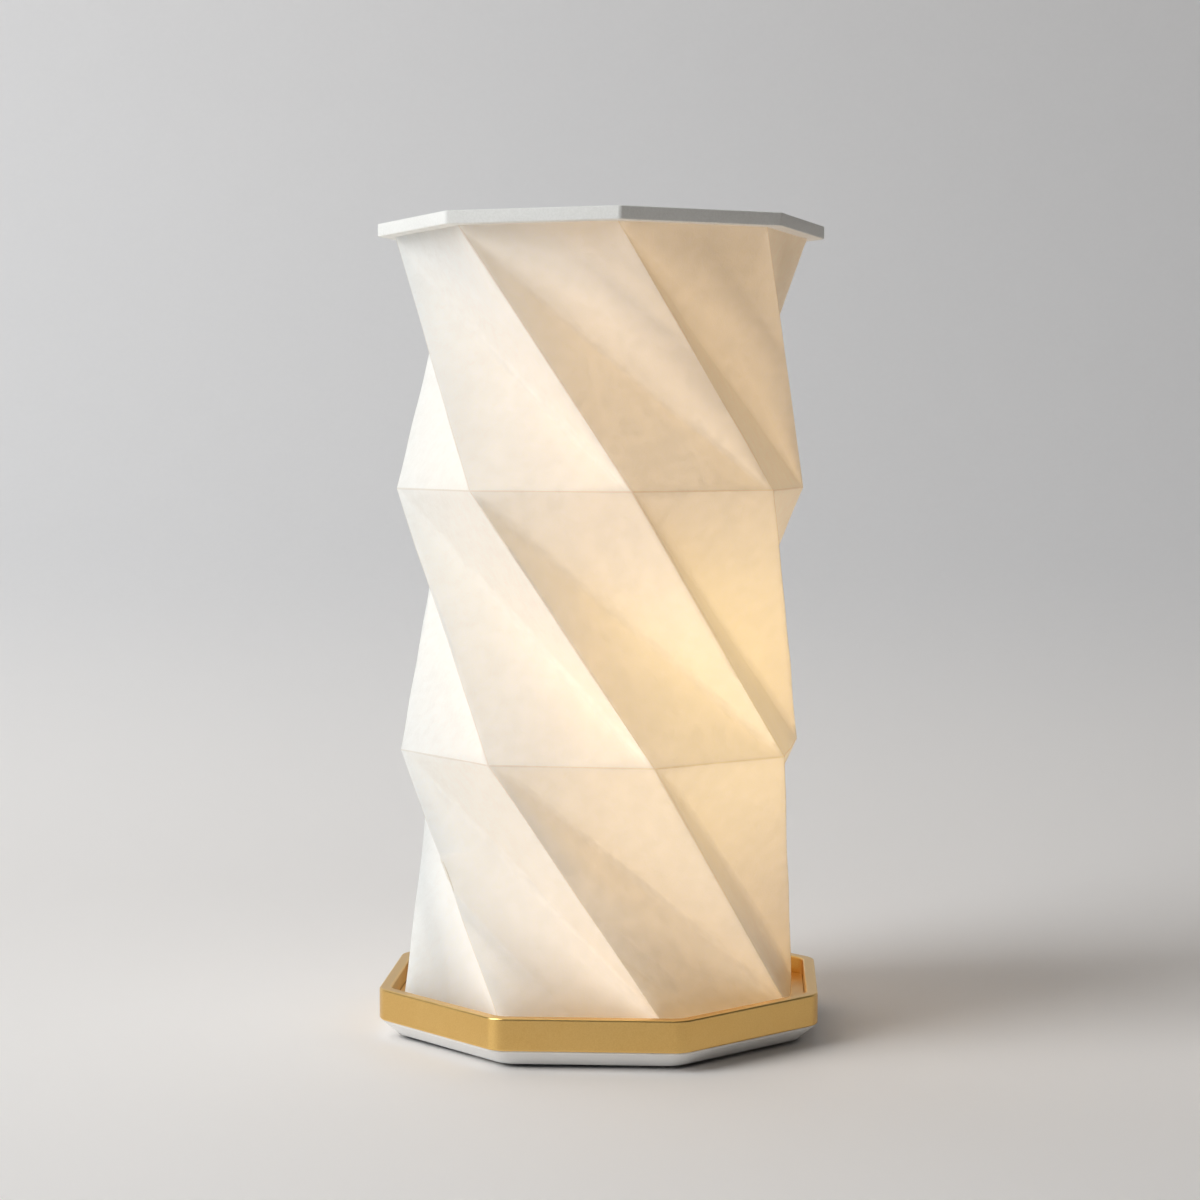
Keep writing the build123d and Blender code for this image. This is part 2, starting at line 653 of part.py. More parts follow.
# ---------------------------------------------------------------- shade
def make_shade():
    """Make the folded paper column, the frames glued in its ends and the top plate."""
    inner_levels = [shade_top + 3] + shade_levels + [deck_top - 3]
    inner_phases = [shade_phases[0]] + shade_phases + [shade_phases[-1]]
    inside = folded_column(shade_radius - paper_wall, inner_levels, inner_phases)

    # the sheet is kept as its flat panels, which meet face to face along the creases
    levels = list(zip(shade_levels, shade_phases))
    outer_rows = [level_corners(shade_radius, z, phase) for z, phase in levels]
    inner_rows = [level_corners(shade_radius - paper_wall, z, phase) for z, phase in levels]
    pairs = zip(panel_corners(outer_rows), panel_corners(inner_rows))
    panels = Compound([paper_panel(outer, inner) for outer, inner in pairs])
    save(panels, "paper_shade")

    # each frame is a bevelled octagon that fills the end of the column as far as its hole
    for label, bottom, phase in (("bottom_frame", deck_top, shade_phases[-1]),
                                 ("top_frame", shade_top - frame_height, plate_phase)):
        with BuildPart() as frame:
            add(inside)
            with Locations((0, 0, bottom + frame_height / 2)):
                Box(4 * shade_radius, 4 * shade_radius, frame_height, mode=Mode.INTERSECT)
            with BuildSketch(Plane.XY.offset(bottom)):
                octagon(frame_hole_radius, phase=phase)
            extrude(amount=frame_height, mode=Mode.SUBTRACT)
        save(frame, label)

    with BuildPart() as top_plate:
        with BuildSketch(Plane.XY.offset(shade_top)):
            octagon(plate_radius, plate_corner, phase=plate_phase)
        extrude(amount=plate_thickness)
        rims = top_plate.edges().group_by(Axis.Z)
        fillet(rims[-1] + rims[0], plate_edge)
    save(top_plate, "top_plate")

    upper, lower = shade_levels[1], shade_levels[2]
    corner = level_corners(shade_radius, upper, shade_phases[1])[0]
    ridge = level_corners(shade_radius, lower, shade_phases[2])[0]
    groove = level_corners(shade_radius, lower, shade_phases[2])[1]
    for name, end in (("mountain", ridge), ("valley", groove)):
        mid = (corner + end) * 0.5
        turn = degrees(atan2(mid.Y, mid.X))
        print(f"middle tier, {name} crease: nearest {hypot(mid.X, mid.Y):.1f} mm to the axis,"
              f" at {turn:.0f} degrees")


make_base()
make_inside()
make_holder()
make_bulb()
make_shade()
lift_needed = bulb_top - deck_top
print(f"the shade clears the bulb after {lift_needed:.1f} mm; the bulb rises"
      f" {unscrew_turns * thread_pitch:.2f} mm in {unscrew_turns} turns"
      f" ({unscrew_turns * 2 * pi:.4f} rad)")
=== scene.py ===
# %% [markdown]
# # A folded paper table lamp
# This lesson dresses a table lamp: a column of creased paper with eight sides and three twisted
# tiers, a flat top board, and a low base with a gold rim. The CAD model comes in first and stays
# where it is. Every new piece is built around the same axis, in metres, at its real height.

# %% Load the frame
import bpy
import bmesh
import json
from math import cos, pi, radians, sin
from mathutils import Matrix, Vector, noise

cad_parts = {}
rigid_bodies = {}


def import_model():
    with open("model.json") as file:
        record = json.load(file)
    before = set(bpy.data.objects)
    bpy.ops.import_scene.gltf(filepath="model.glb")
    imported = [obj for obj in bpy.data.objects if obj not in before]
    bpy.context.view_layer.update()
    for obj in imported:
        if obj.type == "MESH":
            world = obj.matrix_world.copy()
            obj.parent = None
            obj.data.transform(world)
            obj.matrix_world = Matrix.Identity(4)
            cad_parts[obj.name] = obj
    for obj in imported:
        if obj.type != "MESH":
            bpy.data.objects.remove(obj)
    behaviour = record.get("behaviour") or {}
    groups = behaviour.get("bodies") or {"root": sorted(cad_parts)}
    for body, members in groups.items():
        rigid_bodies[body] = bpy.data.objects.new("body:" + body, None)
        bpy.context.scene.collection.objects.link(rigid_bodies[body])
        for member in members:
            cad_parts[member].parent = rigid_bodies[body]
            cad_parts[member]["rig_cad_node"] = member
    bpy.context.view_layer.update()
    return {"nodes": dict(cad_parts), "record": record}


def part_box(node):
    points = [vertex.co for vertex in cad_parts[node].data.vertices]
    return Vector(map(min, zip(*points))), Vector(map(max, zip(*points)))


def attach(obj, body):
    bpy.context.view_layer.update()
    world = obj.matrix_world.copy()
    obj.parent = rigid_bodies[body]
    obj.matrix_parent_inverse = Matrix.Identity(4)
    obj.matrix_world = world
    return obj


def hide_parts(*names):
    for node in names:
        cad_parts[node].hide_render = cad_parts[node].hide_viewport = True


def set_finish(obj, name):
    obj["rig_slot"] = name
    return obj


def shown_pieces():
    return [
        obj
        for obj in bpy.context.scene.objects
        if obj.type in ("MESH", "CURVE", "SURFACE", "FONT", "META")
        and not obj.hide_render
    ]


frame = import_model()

# %% [markdown]
# ## From a bmesh to a finished piece
# Every piece ends the same way: close the doubles, point the faces outwards, make the object,
# choose which edges stay sharp, and let it ride on its CAD body. One helper does this, so each
# later cell can be about the shape alone. The object stays at the origin, unturned.

# %% Finish a piece
MM = 0.001
WELD = 0.001 * MM   # points this close become one
HAIR = 0.01 * MM    # the slack allowed when places are compared


def finish(name, bm, body, slot, replaces, sharp=30):
    """Turn a bmesh into an object that rides on a body and stands for some CAD nodes."""
    bmesh.ops.remove_doubles(bm, verts=bm.verts, dist=WELD)
    bmesh.ops.recalc_face_normals(bm, faces=bm.faces)
    mesh = bpy.data.meshes.new(name)
    bm.to_mesh(mesh)
    bm.free()
    mesh.polygons.foreach_set("use_smooth", [True] * len(mesh.polygons))
    mesh.set_sharp_from_angle(angle=radians(sharp))
    piece = bpy.data.objects.new(name, mesh)
    bpy.context.scene.collection.objects.link(piece)
    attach(piece, body)
    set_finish(piece, slot)
    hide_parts(*replaces)
    print(f"{name}: {len(mesh.polygons)} faces, on {body}")
    return piece


def weighted(piece):
    """Let the large faces decide the shading, so that a bevel catches one clean highlight."""
    shade = piece.modifiers.new("weighted normals", "WEIGHTED_NORMAL")
    shade.keep_sharp = True


# %% Choose points and edges
def points_of(geometry):
    """Return the vertices in what an operator made."""
    return [v for v in geometry if isinstance(v, bmesh.types.BMVert)]


def climbs(edge, least=MM):
    """Tell whether an edge goes up or down by more than a length."""
    return abs(edge.verts[0].co.z - edge.verts[1].co.z) > least


def is_level(edge, bend):
    """Tell whether an edge is level and its two faces meet at more than an angle."""
    return not climbs(edge, WELD) and len(edge.link_faces) == 2 and edge.calc_face_angle() > bend


# %% Round some edges
def round_edges(bm, edges, width, segments=3):
    """Bevel edges with a round profile and return the new faces."""
    made = bmesh.ops.bevel(bm, geom=list(edges), offset=width, offset_type="OFFSET",
                           segments=segments, profile=0.5, affect="EDGES",
                           clamp_overlap=True, material=-1)
    return made["faces"]


# %% Draw an octagon and pull a wall from it
SIDES = 8
BASE_TURN = radians(22.5)


def octagon(bm, radius, height, turn=BASE_TURN, fill=False):
    """Add an octagon by its corner radius and return its vertices."""
    ring = bmesh.ops.create_circle(bm, cap_ends=fill, segments=SIDES, radius=radius)["verts"]
    spin = Matrix.Rotation(turn, 3, "Z")
    bmesh.ops.rotate(bm, cent=(0, 0, 0), matrix=spin, verts=ring)
    bmesh.ops.translate(bm, vec=(0, 0, height), verts=ring)
    return ring


def pull(bm, ring, radius=None, height=0.0, turn=0.0):
    """Extrude a ring of edges to a new corner radius, up by a height and round by a turn."""
    inside = set(ring)
    edges = [e for e in bm.edges if e.verts[0] in inside and e.verts[1] in inside]
    new = points_of(bmesh.ops.extrude_edge_only(bm, edges=edges)["geom"])
    if radius is not None:
        grow = radius / Vector(new[0].co.xy).length
        bmesh.ops.scale(bm, vec=(grow, grow, 1), verts=new)
    bmesh.ops.rotate(bm, cent=(0, 0, 0), matrix=Matrix.Rotation(turn, 3, "Z"), verts=new)
    bmesh.ops.translate(bm, vec=(0, 0, height), verts=new)
    return new


# %% [markdown]
# ## The folded paper column
# On the real lamp this is one sheet, glued into a tube. Eight sides, three tiers, and each tier
# is turned about fifty degrees against the one above. A turned quad cannot stay flat, so it
# breaks along its long diagonal: that is the valley crease. The edge between two panels is the
# mountain crease. We pull an octagon down and round three times, then split each quad.

# %% Sizes of the column
SHADE_RADIUS = 77.0 * MM
SHADE_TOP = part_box("top_plate")[0].z
SHADE_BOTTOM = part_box("paper_shade")[0].z
TIERS = [(92.9 * MM, 48.5), (96.4 * MM, 51.0), (93.4 * MM, 49.0)]   # drop, twist in degrees
ASKEW = radians(-1.5)              # how far the glued column stands turned on its base
TOP_TURN = BASE_TURN + ASKEW - radians(sum(twist for drop, twist in TIERS))
CREASE = 0.32 * MM
SOFT_FOLD = (6.0 * MM, 1.5 * MM)   # half width of a soft valley at its upper and lower end
SOFT_PASSES = 7
LONG_EDGE, GRID_CUTS = 4 * MM, 31
WANDER, WANDER_SIZE = 0.6 * MM, 26 * MM
PAPER = 0.40 * MM
print("column from", round(SHADE_BOTTOM, 4), "to", round(SHADE_TOP, 4))


# %% Find the long diagonal of a turned quad
def split_panel(bm, face):
    """Cut a panel along its valley crease, from its left top corner to its right bottom one."""
    upper = sorted(face.verts, key=lambda v: v.co.z)[2:]
    left, right = upper
    if left.co.cross(right.co).z < 0:
        left, right = right, left
    below = [e.other_vert(right) for e in right.link_edges if e in face.edges[:]]
    foot = [v for v in below if v not in upper][0]
    bmesh.utils.face_split(face, left, foot)
    return bm.edges.get((left, foot))


# %% Pull the three tiers and crease them
paper = bmesh.new()
ring = octagon(paper, SHADE_RADIUS, SHADE_TOP, TOP_TURN)
for drop, twist in TIERS:
    ring = pull(paper, ring, height=-drop, turn=radians(twist))
valleys = [split_panel(paper, panel) for panel in paper.faces[:]]
valley_lines = [sorted((v.co.copy() for v in e.verts), key=lambda p: -p.z) for e in valleys]
creased = [e for e in paper.edges if len(e.link_faces) == 2 and e not in valleys]
fold_layer = paper.faces.layers.float.new("crease")
folds = round_edges(paper, creased, CREASE, segments=2)
for face in folds:
    face[fold_layer] = 1.0
print(len(creased), "creases became", len(folds), "narrow faces")

# %% [markdown]
# The valley creases of a hand-folded sheet are softer than its mountain creases, and softest at
# their upper end. So the panels get a fine grid, and only the points near a valley are relaxed,
# more often the nearer they are to it.

# %% Grid the panels and hold their rims
long_edges = [e for e in paper.edges if e.calc_length() > LONG_EDGE]
bmesh.ops.subdivide_edges(paper, edges=long_edges, cuts=GRID_CUTS, use_grid_fill=True)
held = {v for f in paper.faces if f[fold_layer] > 0.5 for v in f.verts}
held |= {v for e in paper.edges if e.is_boundary for v in e.verts}
print(len(paper.verts), "points, of which", len(held), "are held")


# %% Relax the valleys
def valley_reach(point):
    """Return how far a point is inside the soft zone of its nearest valley, from 0 to 1."""
    best = 0.0
    for upper, lower in valley_lines:
        run = lower - upper
        t = min(1.0, max(0.0, (point - upper).dot(run) / run.length_squared))
        width = SOFT_FOLD[0] + t * (SOFT_FOLD[1] - SOFT_FOLD[0])
        best = max(best, 1.0 - (upper + t * run - point).length / width)
    return best


reach = {v: valley_reach(v.co) for v in paper.verts if v not in held}
for step in range(SOFT_PASSES):
    near = [v for v, depth in reach.items() if depth > step / (SOFT_PASSES + 1)]
    bmesh.ops.smooth_vert(paper, verts=near, factor=0.5, use_axis_x=True, use_axis_y=True,
                          use_axis_z=True)
print(len([depth for depth in reach.values() if depth > 0]), "points lie near a valley")

# %% [markdown]
# No hand-folded facet is quite flat. Each point moves in or out by a fraction of a millimetre,
# following a slow noise, which gives the light something soft to draw on.

# %% Let the sheet wander
paper.normal_update()
drift = [(v, v.normal * noise.noise(v.co / WANDER_SIZE) * WANDER) for v in paper.verts
         if not any(e.is_boundary for e in v.link_edges)]
for point, step in drift:
    point.co += step
print("largest wander in mm:", round(max(step.length for point, step in drift) / MM, 2))

# %% Give the sheet its thickness
paper_column = finish("paper_column", paper, "shade", "paper", ["paper_shade"], sharp=60)
sheet = paper_column.modifiers.new("paper thickness", "SOLIDIFY")
sheet.thickness = PAPER
sheet.offset = -1
print("paper of", round(sheet.thickness / MM, 2), "mm")

# %% [markdown]
# ## The top board
# A thin white board closes the column. It is a plain octagon, wider than the paper, so its charm
# is all in its edges: small rounded corners, a fine arris above and below, and a grainy finish.
# A filled circle of eight segments, extruded once and bevelled twice, gives exactly that.

# %% Make the top board
BOARD_RADIUS, BOARD_CORNER, BOARD_ARRIS = 83.5 * MM, 0.9 * MM, 0.45 * MM
top = bmesh.new()
octagon(top, BOARD_RADIUS, SHADE_TOP, TOP_TURN, fill=True)
lid = points_of(bmesh.ops.extrude_face_region(top, geom=top.faces[:])["geom"])
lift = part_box("top_plate")[1].z - SHADE_TOP
bmesh.ops.translate(top, vec=(0, 0, lift), verts=lid)
bmesh.ops.recalc_face_normals(top, faces=top.faces)
round_edges(top, [e for e in top.edges if climbs(e)], BOARD_CORNER)
round_edges(top, [e for e in top.edges if is_level(e, bend=radians(60))], BOARD_ARRIS)
weighted(finish("top_board", top, "shade", "board", ["top_plate"]))

# %% [markdown]
# ## The gold rim
# The rim is a bent octagonal band with softly rounded corners. We pull a wall up, in, down and
# back to the start, round the upright corners first and the rims after, so that the small bevel
# runs cleanly round every corner, as polished metal edges do.

# %% Make the rim
RIM_RADIUS, RIM_WALL = 87.3 * MM, 4.4 * MM
RIM_CORNER, RIM_INNER_CORNER, RIM_ARRIS = 3.6 * MM, 2.8 * MM, 0.7 * MM
rim_low, rim_high = (corner.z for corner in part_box("trim_ring"))
rim_inner = RIM_RADIUS - RIM_WALL / cos(BASE_TURN)
band = bmesh.new()
start = octagon(band, RIM_RADIUS, rim_low)
walk = pull(band, start, height=rim_high - rim_low)
walk = pull(band, walk, radius=rim_inner)
walk = pull(band, walk, height=rim_low - rim_high)
walk = pull(band, walk, radius=RIM_RADIUS)
bmesh.ops.remove_doubles(band, verts=band.verts, dist=HAIR)
bmesh.ops.recalc_face_normals(band, faces=band.faces)
outer = [e for e in band.edges if climbs(e) and e.verts[0].co.xy.length > RIM_RADIUS - MM]
round_edges(band, outer, RIM_CORNER, 6)
inner = [e for e in band.edges if climbs(e) and e.verts[0].co.xy.length < rim_inner + HAIR
         and e.calc_face_angle() > radians(30)]
round_edges(band, inner, RIM_INNER_CORNER, 5)
band_edge = band.faces.layers.float.new("edge")
level = [e for e in band.edges if is_level(e, bend=radians(60))]
for face in round_edges(band, level, RIM_ARRIS):
    face[band_edge] = 1.0
weighted(finish("gold_rim", band, "base", "gold", ["trim_ring"]))

# %% [markdown]
# ## The white base
# Under the rim the base tapers in to its feet and ends above in a short upright lip. Inside the
# rim it rises as a flat platform for the tray floor. One profile pulled round the octagon makes
# it all, and a shallow recess below takes the dark cover.

# %% Make the base
COVER_RADIUS, FOOT_RADIUS, LIP_RADIUS = 76.0 * MM, 79.8 * MM, 86.3 * MM
LIP_HEIGHT, RIM_PLAY = 0.7 * MM, 0.2 * MM
BASE_CORNER, BASE_ARRIS = 3.4 * MM, 0.3 * MM
foot_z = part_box("base_body")[0].z
roof_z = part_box("base_body")[1].z
cover_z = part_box("bottom_cover")[1].z
lip_z = rim_low - LIP_HEIGHT
shell = bmesh.new()
walk = octagon(shell, COVER_RADIUS, cover_z, fill=True)
walk = pull(shell, walk, height=foot_z - cover_z)
walk = pull(shell, walk, radius=FOOT_RADIUS)
walk = pull(shell, walk, radius=LIP_RADIUS, height=lip_z - foot_z)
walk = pull(shell, walk, height=rim_low - lip_z)
walk = pull(shell, walk, radius=rim_inner - RIM_PLAY)
pull(shell, walk, height=roof_z - rim_low)
bmesh.ops.contextual_create(shell, geom=[e for e in shell.edges if e.is_boundary])
bmesh.ops.recalc_face_normals(shell, faces=shell.faces)
corners = [e for e in shell.edges if climbs(e, HAIR) and e.calc_face_angle() > radians(20)]
round_edges(shell, corners, BASE_CORNER, 5)
level = [e for e in shell.edges if is_level(e, bend=radians(25))]
shell_edge = shell.faces.layers.float.new("edge")
for face in round_edges(shell, level, BASE_ARRIS):
    face[shell_edge] = 1.0
weighted(finish("white_base", shell, "base", "white_base", ["base_body"]))

# %% [markdown]
# ## The bulb
# Most of a bulb is turned, so most of it is a profile spun about the axis. The screw thread is
# the same trick with a climb: a small profile spun several turns while it rises. Spinning is
# exact and keeps few faces where the shape is straight. Heights are counted from the bulb's tip.

# %% Spin a profile
BULB_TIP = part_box("bulb_contact")[0].z


def turned(bm, profile, steps=72, turns=1, pitch=0.0):
    """Spin a line of (radius, height) points in millimetres, rising by a pitch each turn."""
    line = [bm.verts.new((r * MM, 0, BULB_TIP + z * MM)) for r, z in profile]
    edges = [bm.edges.new(pair) for pair in zip(line, line[1:])]
    bmesh.ops.spin(bm, geom=line + edges, cent=(0, 0, 0), axis=(0, 0, 1),
                   dvec=(0, 0, pitch * MM * turns / steps), angle=2 * pi * turns, steps=steps,
                   use_merge=pitch == 0, use_duplicate=False)


# %% Glass globe of the bulb
GLASS = 1.4
globe_profile = [(27.4, 62), (28.6, 66), (29.6, 71), (30.0, 76), (29.7, 81), (28.6, 86.5),
                 (26.4, 92), (23.2, 97), (18.8, 101.4), (13.4, 104.8), (7.0, 107.2), (0, 108)]
inner_profile = [(max(0, r - GLASS), z if z < 100 else z - GLASS) for r, z in globe_profile]
globe = bmesh.new()
turned(globe, globe_profile)
turned(globe, inner_profile)
turned(globe, [globe_profile[0], inner_profile[0]])
finish("bulb_glass", globe, "bulb", "opal", ["bulb_globe"], sharp=50)

# %% Housing of the bulb
housing = bmesh.new()
turned(housing, [
    (11.4, 14), (11.4, 26.1), (15.0, 26.1), (15.3, 26.6), (15.3, 28.2), (14.9, 28.6),
    (14.9, 29.2), (15.6, 29.8), (16.4, 33), (17.4, 38), (19.2, 43.5), (22.2, 50), (25.6, 56),
    (27.5, 59.4), (28.1, 60.6), (28.2, 61.5), (28.0, 62), (24.2, 62), (24.2, 59), (16.6, 45),
    (10.6, 30), (10.6, 14), (11.4, 14)])
finish("bulb_body", housing, "bulb", "bulb_plastic", ["bulb_housing"], sharp=40)

# %% Threaded cap of the bulb
PITCH, TURNS, THREAD_START = 25.4 / 7, 4.6, 6.4
cap = bmesh.new()
turned(cap, [(9.9, 4.4), (12.4, 6.2), (12.4, 24.9), (12.5, 25.4), (12.9, 26), (12.0, 26),
             (12.0, 6.4), (9.9, 5.2), (9.9, 4.4)], steps=64)
wave = [(12.34, -1.25), (12.6, -0.95), (12.95, -0.5), (13.08, 0), (12.95, 0.5), (12.6, 0.95),
        (12.34, 1.25), (12.34, -1.25)]
turned(cap, [(r, THREAD_START + z) for r, z in wave], steps=int(48 * TURNS), turns=TURNS,
       pitch=PITCH)
bmesh.ops.remove_doubles(cap, verts=cap.verts, dist=WELD)
bmesh.ops.holes_fill(cap, edges=[e for e in cap.edges if e.is_boundary], sides=12)
finish("bulb_thread", cap, "bulb", "nickel", ["bulb_cap"], sharp=50)

# %% [markdown]
# ## Grain, clouds, drawn lines and a painted glow as node groups
# An effect is built once, as a shader node group with named inputs. Grain and drawn lines come
# back in many finishes, and the paper has two groups of its own. A group gives out masks,
# heights or a colour. The shader stays in each material, where its own constants can be read.


# %% Helpers for nodes
def put(tree, kind, values=None, **settings):
    """Add a node, set its properties and the values of its unlinked sockets."""
    node = tree.nodes.new("ShaderNode" + kind)
    for key, value in settings.items():
        setattr(node, key, value)
    for key, value in (values or {}).items():
        node.inputs[key].default_value = value
    return node


def new_group(name, inputs, outputs):
    """Start a node group with named sockets and return its tree, entry and exit."""
    tree = bpy.data.node_groups.new(name, "ShaderNodeTree")
    for label, kind, value in inputs:
        socket = tree.interface.new_socket(label, in_out="INPUT", socket_type="NodeSocket" + kind)
        if value is not None:
            socket.default_value = value
    for label, kind in outputs:
        tree.interface.new_socket(label, in_out="OUTPUT", socket_type="NodeSocket" + kind)
    return tree, tree.nodes.new("NodeGroupInput"), tree.nodes.new("NodeGroupOutput")


def use_group(tree, group, values=None):
    """Place a node group in a material and set its values."""
    node = tree.nodes.new("ShaderNodeGroup")
    node.node_tree = group
    for key, value in (values or {}).items():
        node.inputs[key].default_value = value
    return node


def ramp(tree, low, high):
    """Map a value from low..high smoothly to 0..1."""
    return put(tree, "MapRange", {"From Min": low, "From Max": high},
               interpolation_type="SMOOTHSTEP")


def product(tree, one, other):
    """Multiply two values and return the result."""
    node = put(tree, "Math", operation="MULTIPLY")
    tree.links.new(one, node.inputs[0])
    tree.links.new(other, node.inputs[1])
    return node.outputs["Value"]


def scaled(tree, colour, factor):
    """Multiply a colour by a value and return the result."""
    node = put(tree, "VectorMath", operation="SCALE")
    tree.links.new(colour, node.inputs["Vector"])
    tree.links.new(factor, node.inputs["Scale"])
    return node.outputs["Vector"]


def summed(tree, one, other):
    """Add two colours and return the result."""
    node = put(tree, "VectorMath", operation="ADD")
    tree.links.new(one, node.inputs[0])
    tree.links.new(other, node.inputs[1])
    return node.outputs["Vector"]


# %% Group 1: clouds of fibre in handmade paper
clouds, way_in, way_out = new_group(
    "paper clouds",
    [("Place", "Vector", None), ("Cloud Size", "Float", 60.0), ("Fibre Size", "Float", 900.0)],
    [("Clouds", "Float"), ("Fibres", "Float"), ("Height", "Float")])
soft = put(clouds, "TexNoise", {"Detail": 5.0, "Roughness": 0.62, "Distortion": 0.4})
clouds.links.new(way_in.outputs["Place"], soft.inputs["Vector"])
clouds.links.new(way_in.outputs["Cloud Size"], soft.inputs["Scale"])
soft_out = ramp(clouds, 0.3, 0.7)
clouds.links.new(soft.outputs["Fac"], soft_out.inputs["Value"])
squeeze = put(clouds, "Mapping", {"Scale": (1.0, 1.0, 0.22), "Rotation": (0.5, 0.3, 0.0)},
              vector_type="POINT")
clouds.links.new(way_in.outputs["Place"], squeeze.inputs["Vector"])
hair = put(clouds, "TexNoise", {"Detail": 3.0, "Roughness": 0.7, "Distortion": 1.6})
clouds.links.new(squeeze.outputs["Vector"], hair.inputs["Vector"])
clouds.links.new(way_in.outputs["Fibre Size"], hair.inputs["Scale"])
hair_out = ramp(clouds, 0.35, 0.68)
clouds.links.new(hair.outputs["Fac"], hair_out.inputs["Value"])
both = put(clouds, "Math", {1: 0.45}, operation="MULTIPLY_ADD")
clouds.links.new(hair_out.outputs["Result"], both.inputs[0])
clouds.links.new(soft_out.outputs["Result"], both.inputs[2])
clouds.links.new(soft_out.outputs["Result"], way_out.inputs["Clouds"])
clouds.links.new(hair_out.outputs["Result"], way_out.inputs["Fibres"])
clouds.links.new(both.outputs["Value"], way_out.inputs["Height"])
print(clouds.name, "has", len(clouds.nodes), "nodes")

# %% Group 2: fine grain of lacquer, powder coat and moulded plastic
grain, way_in, way_out = new_group(
    "fine grain", [("Place", "Vector", None), ("Grain Size", "Float", 1500.0)],
    [("Grain", "Float"), ("Patches", "Float"), ("Height", "Float")])
speck = put(grain, "TexNoise", {"Detail": 2.0, "Roughness": 0.6})
grain.links.new(way_in.outputs["Place"], speck.inputs["Vector"])
grain.links.new(way_in.outputs["Grain Size"], speck.inputs["Scale"])
speck_out = ramp(grain, 0.32, 0.68)
grain.links.new(speck.outputs["Fac"], speck_out.inputs["Value"])
patch = put(grain, "TexNoise", {"Scale": 38.0, "Detail": 4.0, "Roughness": 0.6})
grain.links.new(way_in.outputs["Place"], patch.inputs["Vector"])
patch_out = ramp(grain, 0.35, 0.65)
grain.links.new(patch.outputs["Fac"], patch_out.inputs["Value"])
grain.links.new(speck_out.outputs["Result"], way_out.inputs["Grain"])
grain.links.new(patch_out.outputs["Result"], way_out.inputs["Patches"])
grain.links.new(speck.outputs["Fac"], way_out.inputs["Height"])
print(grain.name, "has", len(grain.nodes), "nodes")

# %% Group 3: fine drawn lines of worked metal
drawn, way_in, way_out = new_group(
    "drawn lines", [("Place", "Vector", None), ("Line Size", "Float", 260.0)],
    [("Lines", "Float"), ("Height", "Float")])
stretch = put(drawn, "Mapping", {"Scale": (0.05, 0.05, 1.0)}, vector_type="POINT")
drawn.links.new(way_in.outputs["Place"], stretch.inputs["Vector"])
line = put(drawn, "TexNoise", {"Detail": 4.0, "Roughness": 0.7})
drawn.links.new(stretch.outputs["Vector"], line.inputs["Vector"])
drawn.links.new(way_in.outputs["Line Size"], line.inputs["Scale"])
line_out = ramp(drawn, 0.3, 0.7)
drawn.links.new(line.outputs["Fac"], line_out.inputs["Value"])
drawn.links.new(line_out.outputs["Result"], way_out.inputs["Lines"])
drawn.links.new(line.outputs["Fac"], way_out.inputs["Height"])
print(drawn.name, "has", len(drawn.nodes), "nodes")

# %% [markdown]
# Light that enters a white column bounces many times before it leaves, so the whole sheet glows.
# This group paints that glow into the sheet's emission, from three parts: an even painted glow
# whose tint changes from one side to the other, a paler painted light low down, and a painted
# pool of warm light near the bulb. Clouds of fibre vary the even glow, and a crease, where the
# sheet is doubled, holds a little of it all back as painted shade.

# %% Group 4: the painted glow inside the sheet
# The painted low light starts and is full at these heights.
LOW_LIGHT = (0.125, 0.02)   # the low light starts and is full at these heights, in metres
painted_glow, way_in, way_out = new_group(
    "painted glow",
    [("Height", "Float", 0.15), ("Side", "Float", 1.0), ("Clouds", "Float", 0.5),
     ("Crease", "Float", 0.0), ("Pool Mask", "Float", 0.0),
     ("Even", "Float", 0.333), ("Even Tint", "Color", (1.0, 0.65, 0.315, 1)),
     ("Side Tint", "Color", (0.375, 0.41, 0.42, 1)),
     ("Low", "Float", 0.046), ("Low Tint", "Color", (0.87, 1.0, 0.92, 1)),
     ("Pool", "Float", 0.17), ("Pool Tint", "Color", (1.0, 0.75, 0.30, 1))],
    [("Light", "Color")])
given = way_in.outputs
low_mask = ramp(painted_glow, *LOW_LIGHT)
painted_glow.links.new(given["Height"], low_mask.inputs["Value"])
spread = put(painted_glow, "MapRange", {"To Min": 0.89, "To Max": 1.09})
painted_glow.links.new(given["Clouds"], spread.inputs["Value"])
blocked = put(painted_glow, "MapRange", {"To Min": 1.0, "To Max": 0.86})
painted_glow.links.new(given["Crease"], blocked.inputs["Value"])
tone = put(painted_glow, "Mix", data_type="RGBA")
painted_glow.links.new(given["Side"], tone.inputs["Factor"])
painted_glow.links.new(given["Side Tint"], tone.inputs[6])
painted_glow.links.new(given["Even Tint"], tone.inputs[7])
even = product(painted_glow, spread.outputs["Result"], given["Even"])
low = product(painted_glow, low_mask.outputs["Result"], given["Low"])
pool = product(painted_glow, given["Pool Mask"], given["Pool"])
ends = summed(painted_glow, scaled(painted_glow, tone.outputs[2], even),
              scaled(painted_glow, given["Low Tint"], low))
total = summed(painted_glow, ends, scaled(painted_glow, given["Pool Tint"], pool))
painted_glow.links.new(scaled(painted_glow, total, blocked.outputs["Result"]),
                      way_out.inputs["Light"])
print(painted_glow.name, "has", len(painted_glow.nodes), "nodes")

# %% [markdown]
# ## Finishes
# A finish is one Principled shader fed by the groups: two colours mixed by a mask, a roughness
# that wanders a little, and a bump of a few hundredths of a millimetre.


# %% A general finish
def mix_colour(tree, low, high):
    """Blend two colours by a mask."""
    return put(tree, "Mix", {6: (*low, 1), 7: (*high, 1)}, data_type="RGBA")


